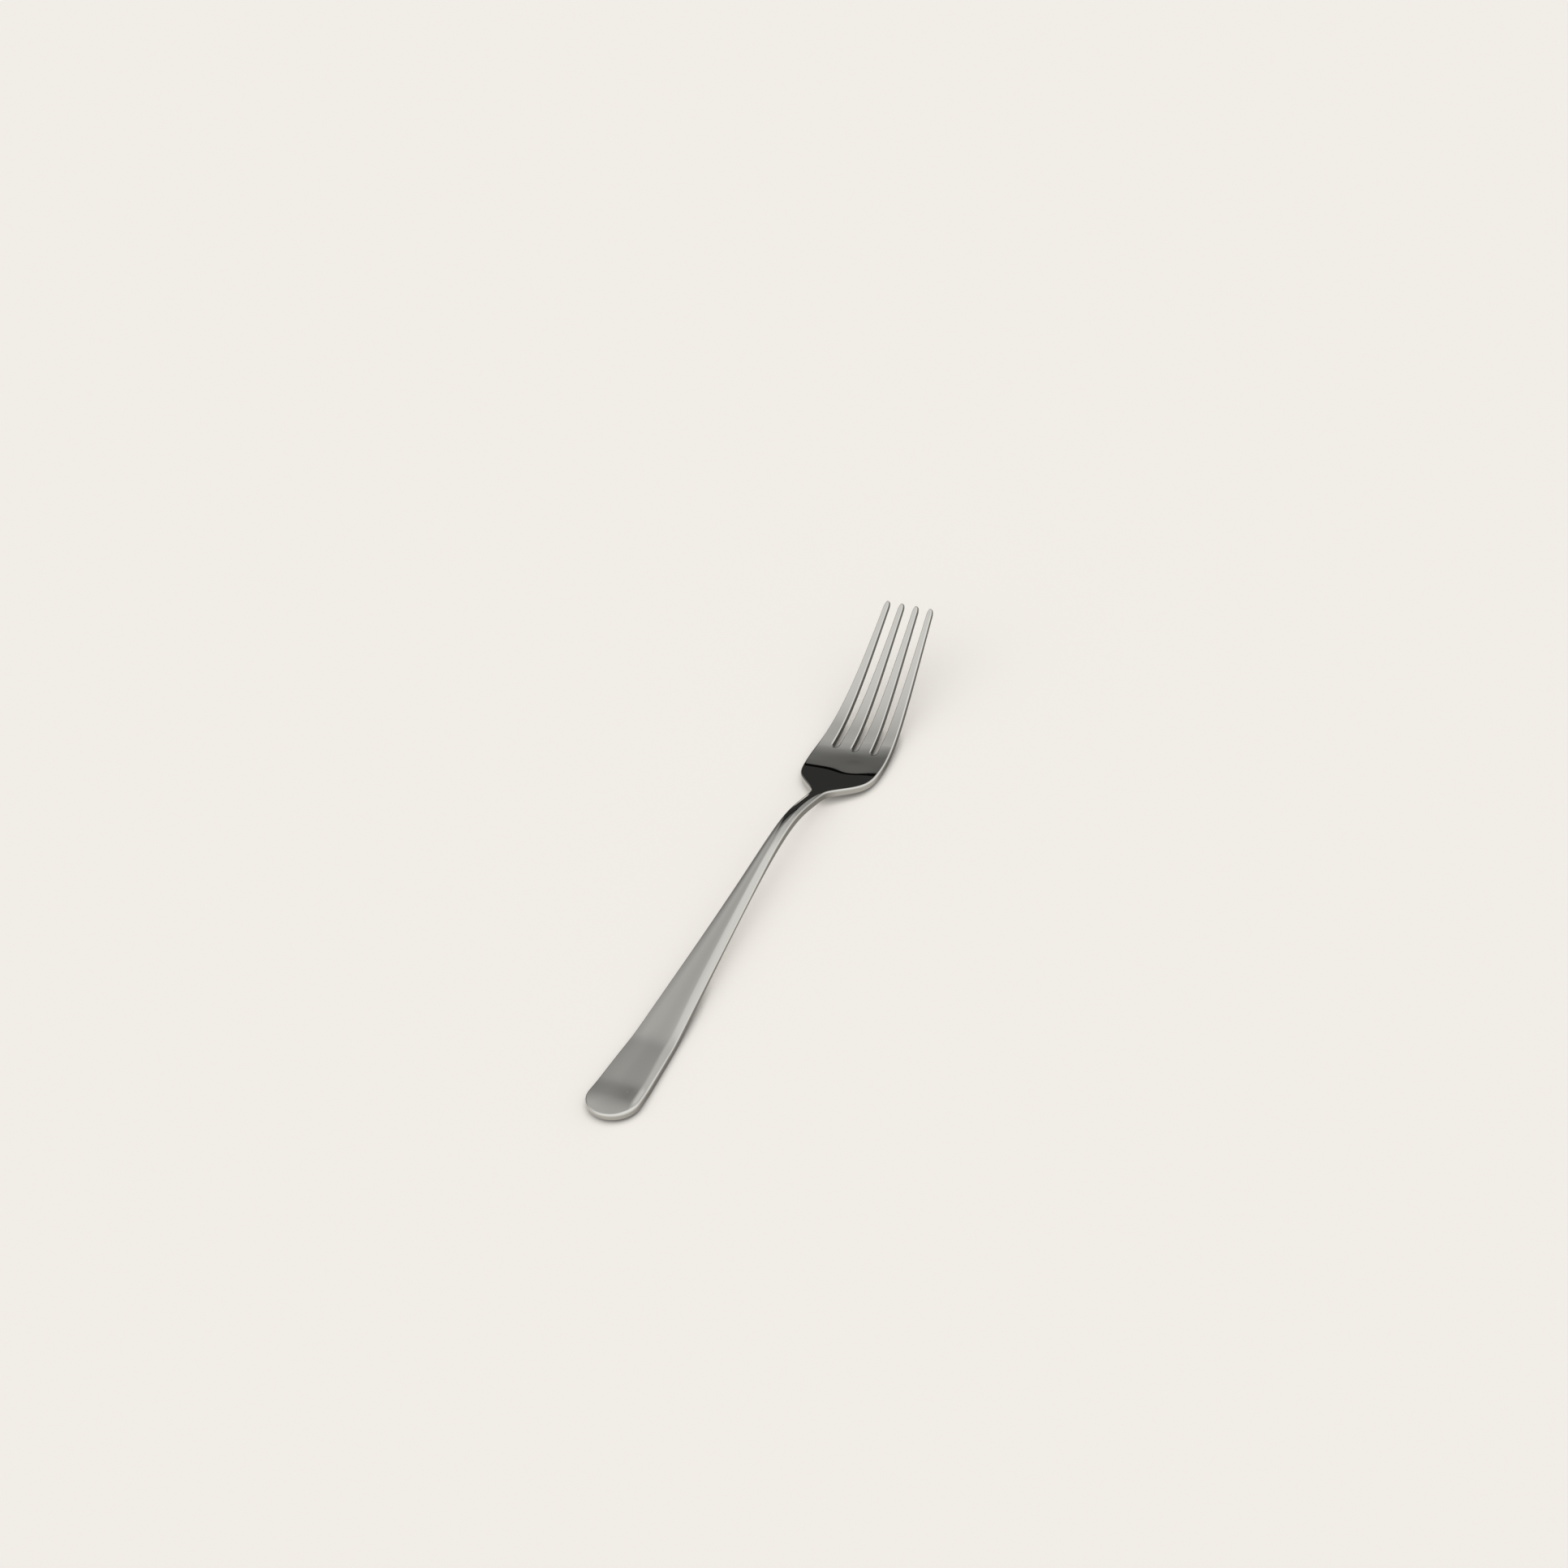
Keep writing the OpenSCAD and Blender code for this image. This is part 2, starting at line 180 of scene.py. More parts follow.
class ForkSizes(bpy.types.PropertyGroup):
    """Sizes of the fork."""

    length: size("Length", "From the end of the handle to the tips", 200, 190, 215)
    handle_w: size("Handle width", "Width close to the handle's rounded end", 18, 14, 22)
    waist_w: size("Waist width", "Width of the handle halfway to the neck", 10.2, 8, 13)
    waist_at: size("Waist place", "From the end of the handle to the waist", 60, 50, 70)
    end_round: size("End rounding", "Length of the rounding of the handle's end", 7.5, 5, 10)
    handle_t: size("Handle edge", "Thickness of the edge at the handle's end", 2.3, 1.8, 3)
    waist_t: size("Waist edge", "Thickness of the edge at the waist", 1.2, 1.2, 2.4)
    crown: size("Crown", "Height of the middle of the handle's top above its edges", 0.7, 0.3, 1.2)
    back_hollow: size("Back hollow", "Depth of the hollow along the handle's back", 0.03, 0, 0.04)
    end_lift: size("End lift", "Height of the handle's very end above the table", 0.9, 0.2, 2)
    rest_at: size("Rest place", "From the end of the handle to the flat it rests on", 16, 14, 20)
    rest_len: size("Rest length", "Length of the flat that the handle rests on", 12, 8, 14)
    neck_w: size("Neck width", "Width of the neck", 4.4, 3.4, 6)
    neck_t: size("Neck edge", "Thickness of the edge at the neck", 2.4, 2.2, 4)
    neck_len: size("Neck length", "From the crest of the neck to the shoulders", 23, 18, 30)
    neck_lift: size("Neck lift", "Height of the back above the table at the crest", 8, 4, 11)
    head_w: size("Head width", "Widest part of the head", 25.6, 22, 30)
    shoulder_len: size("Shoulder length", "From the neck to the full width", 15, 12, 18)
    palm_len: size("Palm length", "From the full width to the bottoms of the slots", 7.6, 6, 12)
    palm_t: size("Palm thickness", "Thickness of the palm", 2, 1.6, 2.8)
    dish: size("Dish", "Height of the palm's edges above its middle", 0.5, 0, 1.2)
    tines: IntProperty(name="Tines", description="Number of tines", default=4, min=3, max=4)
    tine_len: size("Tine length", "From the bottoms of the slots to the tips", 46.4, 38, 52)
    slot_w: size("Slot width", "Width of a slot at its round bottom", 2.1, 1.2, 2.6)
    tip_gap: size("Tip gap", "Width of the gap between two tips", 3.3, 2.4, 3.5)
    tips_w: size("Tips width", "Width across all the tips", 17, 16, 22)
    tip_t: size("Tip thickness", "Thickness of the tines at their tips", 1.3, 1, 1.8)
    tip_rise: size("Tip rise", "Height of the back of the tips above the table", 20.3, 10, 25)
    tip_round: size("Tip rounding", "Length of the rounding of a tip", 2, 1, 3)
    edge_r: size("Handle edge radius", "Radius of the handle's top edge", 0.35, 0.2, 0.5)
    end_edge_r: size("End edge radius", "Radius of the top edge round the end", 0.9, 0.4, 1.2)
    shoulder_edge_r: size("Shoulder radius", "Radius of the shoulders' top edge", 0.7, 0.3, 0.9)
    tine_edge_r: size("Tine edge radius", "Radius of the edges of the tines", 0.4, 0.15, 0.4)
    back_r: size("Back edge radius", "Radius of the back edge of handle and head", 0.5, 0.3, 0.6)


class SteelFinish(bpy.types.PropertyGroup):
    """Colour and polish of the steel."""

    colour: colour("Steel", "Colour of the polished steel", 0.72, 0.712, 0.675)
    # The walls' darker colour: partly the sheared metal's own, and partly painted shade, dark
    # enough for the walls down the slots
    wall_and_shade_colour: colour("Sheared edge", "Colour of the walls that were cut", 0.13, 0.127, 0.118)
    wall_dullness: share("Edge dullness", "Roughness that the walls have above the faces", 0.15)
    gloss_low: share("Finest polish", "Roughness where the polish is finest", 0.025)
    gloss_high: share("Dullest polish", "Roughness where handling has dulled the polish", 0.065)
    line_depth: size("Polishing lines", "Depth of the polishing lines", 0.0016, 0, 0.01)
    wave_depth: size("Waviness", "Depth of the soft waves that polishing leaves", 0.004, 0, 0.1)


class StudioSettings(bpy.types.PropertyGroup):
    """The table, the light and the camera."""

    table_colour: colour("Table", "Colour of the table", 0.759, 0.731, 0.697)
    table_lift: share("Table lift", "Paleness that the viewer sees above the lit table", 0.3)
    # Painted shade on the table's colour near the fork: how far it reaches, and the share of the
    # colour left in a crevice
    painted_shade_reach: size("Crevice reach", "How far off the fork darkens the table", 3.5, 1, 40)
    painted_shade_tone: share("Crevice tone", "Share of the table's paleness left in a crevice", 0.15)
    table_size: size("Table size", "Length of a side of the table", 6000, 1000, 20000)
    key_power: FloatProperty(
        name="Key light", description="Strength of the wide light", default=0.2, min=0, max=20,
    )
    key_heading: angle("Key heading", "Direction of the key light round from +X", 150)
    key_height: angle("Key height", "Height of the key light above the table", 70)
    key_width: angle("Key width", "How wide the key light looks from the fork", 80)
    camera_place: FloatVectorProperty(
        name="Camera", description="Place of the camera",
        default=(-672.906 * MM, -631.455 * MM, 851.625 * MM), size=3, subtype="TRANSLATION",
    )
    camera_heading: angle("Heading", "Direction of view round from +X towards +Y", 42.391)
    camera_tilt: angle("Tilt", "How far the view looks down", 41.560)
    camera_roll: angle("Roll", "How far the picture is turned", 19.002)
    lens: FloatProperty(
        name="Lens", description="Focal length of the camera's lens", default=96.82, min=10,
        max=500, unit="CAMERA",
    )


def traced(corners, steps=60):
    """A line steered by corners, as points close together.

    Between two corners it is the cubic B-spline of the four corners around them: at the share t
    of the way they weigh (1 - t)^3, 3t^3 - 6t^2 + 4, -3t^3 + 3t^2 + 3t + 1 and t^3, all over 6. A
    corner mirrored past each end makes the line start and end on its own first and last corner.
    """
    corners = np.asarray(corners, float)
    spans = len(corners) - 1
    way = np.linspace(0, spans, spans * steps + 1)
    corner = np.minimum(way.astype(int), spans - 1)
    t = (way - corner)[:, None]
    around = np.vstack([2 * corners[0] - corners[1], corners, 2 * corners[-1] - corners[-2]])
    weights = ((1 - t) ** 3, 3 * t**3 - 6 * t**2 + 4, -3 * t**3 + 3 * t**2 + 3 * t + 1, t**3)
    return sum(weight * around[corner + k] for k, weight in enumerate(weights)) / 6


def quarter(reach):
    """Height of a quarter circle at a share of its reach: the root of 1 - (1 - reach)^2."""
    return np.sqrt(np.maximum(0, 1 - (1 - np.clip(reach, 0, 1)) ** 2))


def turn_out(start, reach, steps):
    """Places that start close together: start + reach * (1 - cos a), for even angles a."""
    return start + reach * (1 - np.cos(np.linspace(0, pi / 2, steps + 1)))


def turn_in(start, reach, steps):
    """Places that end close together: start + reach * sin a, for even angles a."""
    return start + reach * np.sin(np.linspace(0, pi / 2, steps + 1))


def even(start, end, gap):
    """Places from start to end, evenly spaced by about the gap."""
    return np.linspace(start, end, max(2, int(round((end - start) / gap)) + 1))


class ForkForm:
    """The fork as a flat blank that is bent along its side profile.

    A point of the blank has a place along the fork, a distance from the middle line and a height
    above the underside. The dish raises it by its depth times the square of the point's share of
    the half width. Bending turns that height by the slope of the underside at its place:
    x = place - height * sin(slope), z = underside + height * cos(slope).

    Each line of the form gives a size of the blank by the place along it. Tines and slots are
    numbered from the right. Side 0 of a tine is its right wall, and side 1 its left.
    """

    def __init__(self, sizes):
        self.sizes = sizes
        self.slot_at = sizes.length - sizes.tine_len
        self.full_at = self.slot_at - sizes.palm_len
        self.shoulder_at = self.full_at - sizes.shoulder_len
        self.neck_at = self.shoulder_at - sizes.neck_len
        self.tip_at = sizes.length - sizes.tip_round
        rest_end = sizes.rest_at + sizes.rest_len
        tip_w = (sizes.tips_w - (sizes.tines - 1) * sizes.tip_gap) / sizes.tines
        # The quarter ellipse that rounds a tip turns tightest at its very end, with this radius
        tip_r = (tip_w / 2) ** 2 / sizes.tip_round
        tip_edge_r = min(sizes.tine_edge_r, TIP_EDGE_SHARE * tip_r)
        root_at = self.slot_at - sizes.slot_w * 2
        tip_turn = sizes.length - sizes.tip_round * 2
        arm_at = sizes.waist_at * 0.35 + self.neck_at * 0.65
        self.half_width = traced([
            [0, sizes.handle_w / 2],
            [sizes.end_round, sizes.handle_w / 2],
            [rest_end, sizes.handle_w * 0.425],
            [sizes.waist_at, sizes.waist_w / 2],
            [arm_at, sizes.waist_w * 0.3],
            [self.neck_at, sizes.neck_w / 2],
            [self.shoulder_at - sizes.shoulder_len * 0.1, sizes.neck_w / 2],
            [self.shoulder_at + sizes.shoulder_len * 0.08, sizes.neck_w * 0.52],
            [self.shoulder_at + sizes.shoulder_len * 0.4, sizes.head_w * 0.375],
            [self.shoulder_at + sizes.shoulder_len * 0.65, sizes.head_w * 0.49],
            [self.full_at + sizes.shoulder_len * 0.1, sizes.head_w * 0.51],
            [self.slot_at, sizes.head_w * 0.495],
            [self.slot_at + sizes.tine_len * 0.3, sizes.head_w * 0.3 + sizes.tips_w * 0.195],
            [self.slot_at + sizes.tine_len * 0.6, sizes.head_w * 0.1 + sizes.tips_w * 0.42],
            [sizes.length, sizes.tips_w / 2],
        ])
        self.underside = traced([
            [0, sizes.end_lift],
            [sizes.rest_at * 0.5, sizes.end_lift * 0.5],
            [sizes.rest_at - sizes.rest_len / 3, 0],
            [sizes.rest_at, 0],
            [rest_end, 0],
            [rest_end + sizes.rest_len / 3, 0],
            [sizes.waist_at * 0.85, sizes.neck_lift * 0.325],
            [sizes.waist_at * 0.4 + self.neck_at * 0.6, sizes.neck_lift * 0.855],
            [self.neck_at, sizes.neck_lift * 1.02],
            [self.neck_at * 0.5 + self.shoulder_at * 0.5, sizes.neck_lift * 0.96],
            [self.shoulder_at, sizes.neck_lift * 0.37],
            [self.full_at - sizes.shoulder_len * 0.25, 0],
            [self.full_at + sizes.shoulder_len * 0.1, 0],
            [self.slot_at, 0],
            [self.slot_at + sizes.tine_len * 0.2, sizes.tip_rise * 0.09],
            [self.slot_at + sizes.tine_len * 0.5, sizes.tip_rise * 0.38],
            [sizes.length, sizes.tip_rise],
        ])
        self.thickness = traced([
            [0, sizes.handle_t],
            [rest_end, sizes.handle_t],
            [sizes.waist_at, sizes.waist_t],
            [arm_at, sizes.waist_t],
            [self.neck_at, sizes.neck_t],
            [self.shoulder_at, sizes.neck_t],
            [self.full_at, sizes.palm_t],
            [self.slot_at, sizes.palm_t],
            [sizes.length, sizes.tip_t],
        ])
        self.crown = traced([
            [0, sizes.crown],
            [self.neck_at, sizes.crown],
            [self.shoulder_at - sizes.shoulder_len * 0.2, sizes.crown],
            [self.shoulder_at + sizes.shoulder_len * 0.3, 0],
            [self.full_at, 0],
            [sizes.length, 0],
        ])
        self.hollow = traced([
            [0, sizes.back_hollow],
            [self.neck_at, sizes.back_hollow],
            [self.shoulder_at - sizes.shoulder_len * 0.2, sizes.back_hollow],
            [self.shoulder_at + sizes.shoulder_len * 0.3, 0],
            [self.full_at, 0],
            [sizes.length, 0],
        ])
        self.dish = traced([
            [0, 0],
            [self.shoulder_at, 0],
            [self.full_at, sizes.dish],
            [self.slot_at, sizes.dish],
            [self.slot_at + sizes.tine_len * 0.6, 0],
            [sizes.length, 0],
        ])
        self.top_radius = traced([
            [0, sizes.end_edge_r],
            [sizes.end_round, sizes.end_edge_r],
            [rest_end, sizes.edge_r],
            [self.neck_at * 0.7, sizes.edge_r],
            [self.neck_at, sizes.shoulder_edge_r],
            [self.full_at, sizes.shoulder_edge_r],
            [root_at, sizes.tine_edge_r],
            [tip_turn, sizes.tine_edge_r],
            [sizes.length, tip_edge_r],
        ])
        self.back_radius = traced([
            [0, sizes.back_r],
            [self.full_at, sizes.back_r],
            [root_at, sizes.tine_edge_r],
            [tip_turn, sizes.tine_edge_r],
            [sizes.length, tip_edge_r],
        ])
        # How much of the walls' darker colour shows, partly sheared metal and partly painted shade:
        # less where the walls are polished, and all of it along the tines
        self.dull_and_shade_share = np.array([
            [0, 0.45],
            [sizes.end_round, 0.7],
            [sizes.end_round * 1.6, 0.8],
            [self.neck_at, 0.86],
            [self.shoulder_at, 0.88],
            [self.shoulder_at + sizes.shoulder_len * 0.2, 0.5],
            [self.full_at - sizes.shoulder_len * 0.2, 0.5],
            [self.full_at + sizes.shoulder_len * 0.2, 0.9],
            [self.slot_at, 1],
            [sizes.length, 1],
        ])
        # How gradually the polish of the left top edge gives way to the darker colour, which there
        # also paints the dark reflection along the left outline: 0 is suddenly
        self.left_dull_and_shade = np.array([
            [sizes.end_round * 0.5, 0],
            [sizes.end_round * 1.5, 0.6],
            [sizes.waist_at * 0.9, 0.6],
            [sizes.waist_at * 1.15, 1],
            [self.neck_at * 0.87, 1],
            [self.neck_at, 0.2],
            [self.neck_at + sizes.neck_len * 0.3, 0.2],
            [self.shoulder_at - sizes.shoulder_len * 0.3, 1],
            [self.full_at - sizes.shoulder_len * 0.3, 1],
            [self.full_at + sizes.shoulder_len * 0.2, 0],
        ])
        rise = np.diff(self.underside, axis=0)
        middles = (self.underside[1:, 0] + self.underside[:-1, 0]) / 2
        self.slope = np.stack([middles, np.arctan2(rise[:, 1], rise[:, 0])], -1)

    def at(self, line, place):
        """Value of a traced line at places along the fork."""
        return np.interp(place, line[:, 0], line[:, 1])

    def bent(self, blank):
        """Points of the blank, bent along the side profile and set with their middle at X = 0."""
        place, across, height = np.moveaxis(blank, -1, 0)
        slope = self.at(self.slope, place)
        share_out = across / self.at(self.half_width, place)
        height = height + self.at(self.dish, place) * share_out**2
        x = place - height * np.sin(slope) - self.sizes.length / 2
        z = self.at(self.underside, place) + height * np.cos(slope)
        return np.stack([x, across, z], -1)

    def gap(self, place):
        """Width of a gap between tines: it grows from the slot's to the tips' with 1 less the
        share of the way to the tip, to the power 1.5."""
        to_tip = np.clip((self.sizes.length - place) / self.sizes.tine_len, 0, 1)
        return self.sizes.tip_gap + (self.sizes.slot_w - self.sizes.tip_gap) * to_tip**1.5

    def slot_middle(self, place, slot):
        """Middle line of a slot, the first of which is 1: the tines share evenly what the gaps
        leave of the width."""
        half = self.at(self.half_width, place)
        gap = self.gap(place)
        tine_w = (2 * half - (self.sizes.tines - 1) * gap) / self.sizes.tines
        return slot * (tine_w + gap) - gap / 2 - half

    def is_outer(self, tine, side):
        """Whether a wall is the fork's outline and not the wall of a slot."""
        return tine == (0, self.sizes.tines - 1)[side]

    def bare_wall(self, place, tine, side):
        """Distance of a wall from the middle line before a tip is rounded: the half width, closed
        at the handle's end by a quarter ellipse, or half a gap from the slot's middle line, where
        a quarter circle closes the slot."""
        out = side * 2 - 1
        if self.is_outer(tine, side):
            return out * self.at(self.half_width, place) * quarter(place / self.sizes.end_round)
        opened = quarter((place - self.slot_at) / (self.sizes.slot_w / 2))
        return self.slot_middle(place, tine + side) - out * self.gap(place) / 2 * opened

    def wall(self, place, tine, side):
        """Distance of a wall from the middle line. A quarter ellipse closes both walls of a tine
        on its own middle line over the length of the tip's rounding."""
        here = self.bare_wall(place, tine, side)
        middle = (here + self.bare_wall(place, tine, 1 - side)) / 2
        to_tip = (self.sizes.length - place) / self.sizes.tip_round
        closed = middle + (here - middle) * quarter(to_tip)
        return np.where(place > self.tip_at, closed, here)

    def inward(self, place, tine, side):
        """Direction from a wall into the metal: square to the line between the wall's points just
        before and after. Where the wall closes on a middle line, its mirror image follows, and
        where it goes on past its last point, a point half a step further."""
        wall = self.wall(place, tine, side)
        line = np.stack([place, wall], -1)
        if place[0] == 0:
            before = [place[1], -wall[1]]
        elif not self.is_outer(tine, side):
            before = [place[1], 2 * wall[0] - wall[1]]
        else:
            near = place[:1] - (place[1] - place[0]) / 2
            before = [near[0], self.wall(near, tine, side)[0]]
        if place[-1] >= self.sizes.length:
            after = [place[-2], 2 * wall[-1] - wall[-2]]
        else:
            near = place[-1:] + (place[-1] - place[-2]) / 2
            after = [near[0], self.wall(near, tine, side)[0]]
        line = np.vstack([[before], line, [after]])
        along = line[2:] - line[:-2]
        across = (side * 2 - 1) * np.stack([along[:, 1], -along[:, 0]], -1)
        return across / np.linalg.norm(across, axis=1)[:, None]

    def wall_sheet(self, place, tine, side):
        """A wall with its two rounded edges, as a grid of places by points round the edges.

        Each edge is a quarter circle: at the angle a from the face it lies radius * (1 - sin a)
        inside the outline and radius * (1 - cos a) below the face."""
        thickness = self.at(self.thickness, place)[:, None]
        top_r = self.at(self.top_radius, place)[:, None]
        back_r = self.at(self.back_radius, place)[:, None]
        inwards, downwards = 1 - np.sin(EDGE_TURN), 1 - np.cos(EDGE_TURN)
        inset = np.hstack([top_r * inwards, (back_r * inwards)[:, ::-1]])
        height = np.hstack([thickness - top_r * downwards, (back_r * downwards)[:, ::-1]])
        outline = np.stack([place, self.wall(place, tine, side)], -1)
        inward = self.inward(place, tine, side)
        flat = outline[:, None, :] + inward[:, None, :] * inset[..., None]
        return np.concatenate([flat, height[..., None]], -1)

    def places(self):
        """Places along the handle and head, and along the tines: close where an outline turns."""
        sizes = self.sizes
        shoulder_from = self.shoulder_at - sizes.shoulder_len * 0.2
        slot_end = self.slot_at + sizes.slot_w / 2
        body = np.concatenate([
            turn_out(0, sizes.end_round, END_STEPS),
            even(sizes.end_round, shoulder_from, HANDLE_GAP)[1:],
            even(shoulder_from, self.full_at, SHOULDER_GAP)[1:],
            even(self.full_at, self.slot_at, SHOULDER_GAP)[1:],
        ])
        tine = np.concatenate([
            turn_out(self.slot_at, sizes.slot_w / 2, SLOT_STEPS),
            even(slot_end, self.tip_at, TINE_GAP)[1:],
            turn_in(self.tip_at, sizes.tip_round, TIP_STEPS)[1:],
        ])
        return body, tine

    def rows(self, place, edge, is_top, root_row, shares):
        """Rows across the top or the back of the handle and head.

        Each row runs straight between the two edges. With s the share of the way from the middle
        to the edge, it stands higher than the edge by (1 - s^2) times the crown on the top, or the
        hollow on the back. Both shrink with the square of how much of the width the end's rounding
        leaves. The top also has the palm's wave, times (1 - s^2)^2. Over one slot's width before
        the slots, the rows move in even steps to the one through the bottoms of the slots."""
        width_left = edge[:, 1] / self.at(self.half_width, place)
        lift = self.at(self.crown if is_top else self.hollow, place) * width_left**2
        swell = 1 - shares**2
        grid = np.stack([
            np.repeat(edge[:, :1], len(shares), 1),
            edge[:, 1:2] * shares,
            edge[:, 2:] + lift[:, None] * swell,
        ], -1)
        if is_top:
            grid[..., 2] += self.palm_wave(grid[..., 0], grid[..., 1]) * swell**2
        moved = np.clip((place - self.slot_at) / self.sizes.slot_w + 1, 0, 1)
        return grid + moved[:, None, None] * (root_row - grid[-1])

    def palm_wave(self, place, across):
        """A shallow wave that the press leaves in the palm: its slope times the distance along
        from its middle, faded along by (1 - (distance / reach)^2)^4 and across by a bell,
        exp(-(distance / width)^2 / 2)."""
        along = place - self.full_at + WAVE_BACK
        faded = np.maximum(0, 1 - (along / WAVE_LENGTH) ** 2) ** 4
        aside = (across - WAVE_SIDE) / WAVE_WIDTH
        return WAVE_SLOPE * along * faded * np.exp(-aside**2 / 2)

    def strip(self, walls, tine, point):
        """Rows straight across a tine, between the points of its walls with one number. On an outer
        tine, the places leave those of the slot's wall by the cube of the share of the way."""
        low, high = walls[tine, 0][:, None, point], walls[tine, 1][:, None, point]
        rows = low + (high - low) * ACROSS_SHARES[:, None]
        if self.is_outer(tine, 0):
            rows[..., 0] = high[..., 0] + (low - high)[..., 0] * (1 - ACROSS_SHARES) ** 3
        elif self.is_outer(tine, 1):
            rows[..., 0] = low[..., 0] + (high - low)[..., 0] * ACROSS_SHARES**3
        return rows

    def wall_sheets(self, body, tine):
        """The two sides of the handle and head, and both walls of every tine. The outline's walls
        are worked out in one sweep over the whole length, and parted where the slots begin."""
        whole = np.concatenate([body, tine[1:]])
        walls = {}
        for number in range(self.sizes.tines):
            for side in (0, 1):
                place = whole if self.is_outer(number, side) else tine
                walls[number, side] = self.wall_sheet(place, number, side)
        sides = []
        for key in ((0, 0), (self.sizes.tines - 1, 1)):
            outline = walls[key]
            sides.append(outline[:len(body)])
            walls[key] = outline[len(body) - 1:]
        return sides, walls

    def face_sheets(self, body, sides, walls, is_top):
        """The top or the back: the handle and head, then each tine. Across the head the rows have
        the points of all the tines, which meet on the middle lines of the slots."""
        point = 0 if is_top else -1
        tines = [self.strip(walls, number, point) for number in range(self.sizes.tines)]
        root_row = np.concatenate([tines[0][0]] + [rows[0][1:] for rows in tines[1:]])
        half = self.at(self.half_width, self.slot_at)
        slots = range(1, self.sizes.tines)
        between = [self.slot_middle(self.slot_at, slot) / half for slot in slots]
        bounds = [-1.0] + between + [1.0]
        shares = np.concatenate([[-1.0]] + [
            low + (high - low) * ACROSS_SHARES[1:] for low, high in zip(bounds[:-1], bounds[1:])
        ])
        return [self.rows(body, sides[1][:, point], is_top, root_row, shares)] + tines

    def sheared_and_shade_share(self, wall, is_left, crispness):
        """How dark the metal of a wall and its edges looks, from sheared metal and from painted
        shade. With a the angle from the face, it rises on the top edge as sin a to the power of the
        crispness, and on the back edge as the root of sin a. On the left both go over to plain sin
        a where the polish ends gradually. It is all times the share that shows at that place."""
        rise = np.sin(EDGE_TURN)
        crisp = np.concatenate([rise**crispness, np.sqrt(rise)[::-1]])
        gradual = np.concatenate([rise, rise[::-1]])
        left = is_left * self.at(self.left_dull_and_shade, wall[..., 0])
        return (crisp * (1 - left) + gradual * left) * self.at(self.dull_and_shade_share, wall[..., 0])

    def sheets(self):
        """The whole surface, as grids that meet along shared lines. Each comes bent and flat, with
        whether the order of its faces is turned round, and how dark its points look from sheared
        metal and painted shade."""
        body, tine = self.places()
        sides, walls = self.wall_sheets(body, tine)
        sheets = []
        for is_top in (True, False):
            for grid in self.face_sheets(body, sides, walls, is_top):
                sheets.append((self.bent(grid), grid, is_top, np.zeros(grid.shape[:2])))
        outlines = [(sides[side], side, OUTLINE_CRISPNESS) for side in (0, 1)]
        outlines += [
            (wall, side, OUTLINE_CRISPNESS if self.is_outer(number, side) else SLOT_CRISPNESS)
            for (number, side), wall in walls.items()
        ]
        for grid, side, crispness in outlines:
            is_left = side == 1
            sheared_and_shade = self.sheared_and_shade_share(grid, is_left, crispness)
            sheets.append((self.bent(grid), grid, is_left, sheared_and_shade))
        return sheets


def welded_mesh(name, sheets):
    """One closed mesh from grids of points that meet along shared lines.

    Point (i, j) of a grid and its neighbours (i + 1, j), (i + 1, j + 1), (i, j + 1) are a face,
    and the order is turned round where the grid says so. Each point keeps how dark its metal looks
    from sheared metal and painted shade, from 0 on the polished faces up to 1 on the walls, and its
    place on the flat blank.
    """
    points, blanks, faces, sheared_and_shade, first = [], [], [], [], 0
    for grid, blank, turned, share_here in sheets:
        rows, columns = grid.shape[:2]
        number = first + np.arange(rows * columns).reshape(rows, columns)
        corners = np.stack(
            [number[:-1, :-1], number[1:, :-1], number[1:, 1:], number[:-1, 1:]], -1
        ).reshape(-1, 4)
        faces.append(corners if turned else corners[:, ::-1])
        points.append(grid.reshape(-1, 3))
        blanks.append(blank.reshape(-1, 3))
        sheared_and_shade.append(share_here.ravel())
        first += rows * columns
    points, faces = np.vstack(points), np.vstack(faces)
    mesh = bpy.data.meshes.new(name)
    mesh.vertices.add(len(points))
    mesh.vertices.foreach_set("co", points.ravel())
    mesh.loops.add(faces.size)
    mesh.loops.foreach_set("vertex_index", faces.ravel())
    mesh.polygons.add(len(faces))
    mesh.polygons.foreach_set("loop_start", np.arange(len(faces)) * 4)
    mesh.update(calc_edges=True)
    layer = mesh.attributes.new("sheared_and_shade", "FLOAT", "POINT")
    layer.data.foreach_set("value", np.concatenate(sheared_and_shade))
    layer = mesh.attributes.new("blank", "FLOAT_VECTOR", "POINT")
    layer.data.foreach_set("vector", np.vstack(blanks).ravel())
    work = bmesh.new()
    work.from_mesh(mesh)
    bmesh.ops.remove_doubles(work, verts=work.verts, dist=WELD)
    bmesh.ops.dissolve_degenerate(work, edges=work.edges, dist=WELD)
    work.to_mesh(mesh)
    work.free()
    mesh.validate()
    mesh.polygons.foreach_set("use_smooth", np.ones(len(mesh.polygons), bool))
    mesh.update()
    return mesh


def add_piece(name, mesh, material):
    """Link a mesh into the scene at the origin with its material."""
    piece = bpy.data.objects.new(name, mesh)
    bpy.context.scene.collection.objects.link(piece)
    mesh.materials.append(material)
    return piece


def empty_material(name):
    """A material with an empty node tree, its tree and its output node."""
    material = bpy.data.materials.new(name)
    material.use_nodes = True
    tree = material.node_tree
    tree.nodes.clear()
    return material, tree, tree.nodes.new("ShaderNodeOutputMaterial")


def feed(tree, socket, value):
    """Give a socket a plain value, or link it to the socket that gives its value."""
    if isinstance(value, bpy.types.NodeSocket):
        tree.links.new(value, socket)
    else:
        socket.default_value = value


